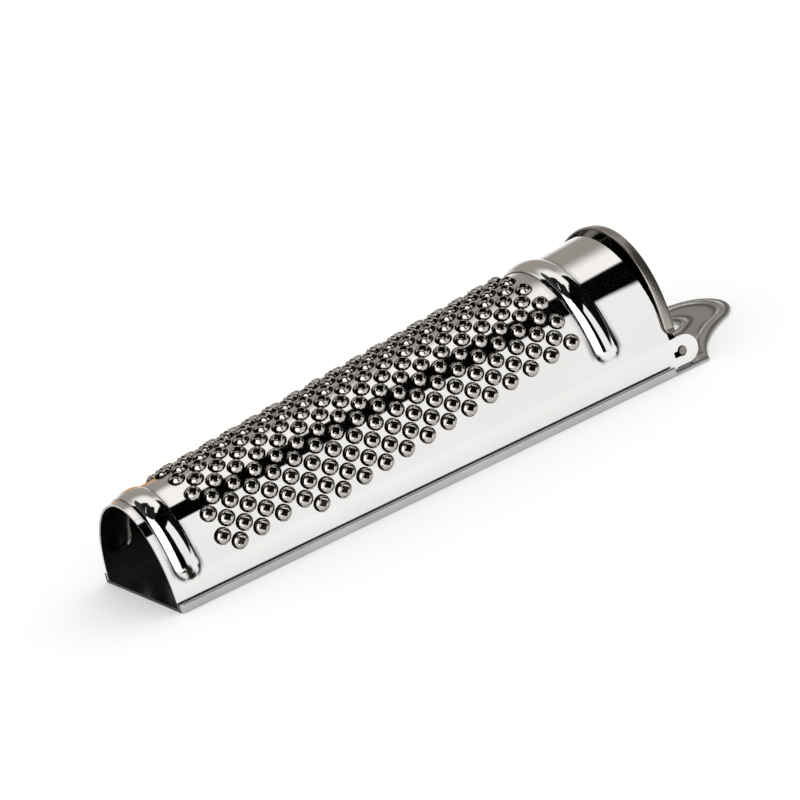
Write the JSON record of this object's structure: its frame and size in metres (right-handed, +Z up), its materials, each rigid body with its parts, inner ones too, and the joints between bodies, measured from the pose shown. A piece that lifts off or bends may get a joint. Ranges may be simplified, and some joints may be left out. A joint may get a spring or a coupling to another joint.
{
  "type": "nutmeg grater",
  "caption": "Hand nutmeg grater: tapered arched body with punched teeth on a flat back plate with hanging tab, and a storage compartment under a hinged snap lid.",
  "frame": {"origin": "on the underside of the back plate, under the middle of the overall length and width", "axes": "+X from the open mouth towards the hanging tab, +Y across, +Z up from the flat back to the crown of the grating arch"},
  "size_m": [0.14, 0.0434, 0.0264],
  "materials": {
    "polished_steel": "mirror-polished stainless sheet",
    "satin_steel": "satin stainless sheet",
    "mill_steel": "mill-finish stainless sheet",
    "lid_steel": "polished pressed stainless sheet",
    "spring_steel": "cold-rolled spring strip",
    "wire_steel": "drawn stainless wire"
  },
  "bodies": {
    "grater": {"grater_body": "polished_steel", "back_plate": "satin_steel", "compartment_floor": "mill_steel", "hinge_pin": "wire_steel"},
    "lid": {"lid_cap": "lid_steel", "lid_catch": "spring_steel"}
  },
  "joints": [
    {"name": "lid_hinge", "type": "hinge", "parent": "grater", "child": "lid", "pos_m": [0.0458, 0, 0.0038], "axis": [0, 1, 0], "range_deg": [-8.5, 88]}
  ]
}
